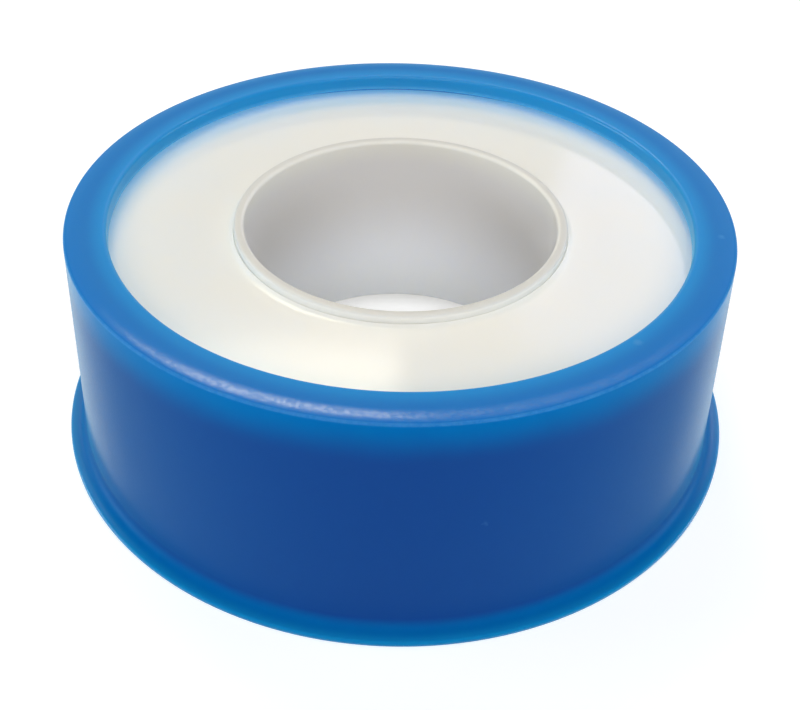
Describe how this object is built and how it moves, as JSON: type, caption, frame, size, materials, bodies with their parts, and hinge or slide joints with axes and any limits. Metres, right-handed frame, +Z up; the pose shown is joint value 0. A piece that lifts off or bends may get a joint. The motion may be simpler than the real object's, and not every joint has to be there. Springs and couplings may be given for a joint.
{
  "type": "thread seal tape roll",
  "caption": "Flat round roll of thread seal tape: a bored white spool with its winding and loose end disc, inside a blue lift-off shell with a brim.",
  "frame": {"origin": "centre of the roll's axis on the surface that the roll lies on", "axes": "+Z up along the roll's axis, from the brim towards the lip; the picture looks along +Y"},
  "size_m": [0.0546, 0.0546, 0.0184],
  "materials": {
    "blue_shell_plastic": "satin moulded polyethylene, slightly translucent",
    "white_spool_plastic": "satin moulded polyethylene, slightly translucent",
    "seal_tape": "soft matt unsintered film, wound"
  },
  "bodies": {
    "spool": {"spool_core": "white_spool_plastic", "tape_winding": "seal_tape"},
    "disc": {"end_disc": "white_spool_plastic"},
    "shell": {"outer_shell": "blue_shell_plastic"}
  },
  "joints": [
    {"name": "disc_turn", "type": "hinge", "parent": "spool", "child": "disc", "pos_m": [0, 0, 0.01575], "axis": [0, 0, 1], "continuous": true},
    {"name": "shell_lift", "type": "slide", "parent": "disc", "child": "shell", "axis": [0, 0, 1], "range_m": [0, 0.025]}
  ]
}
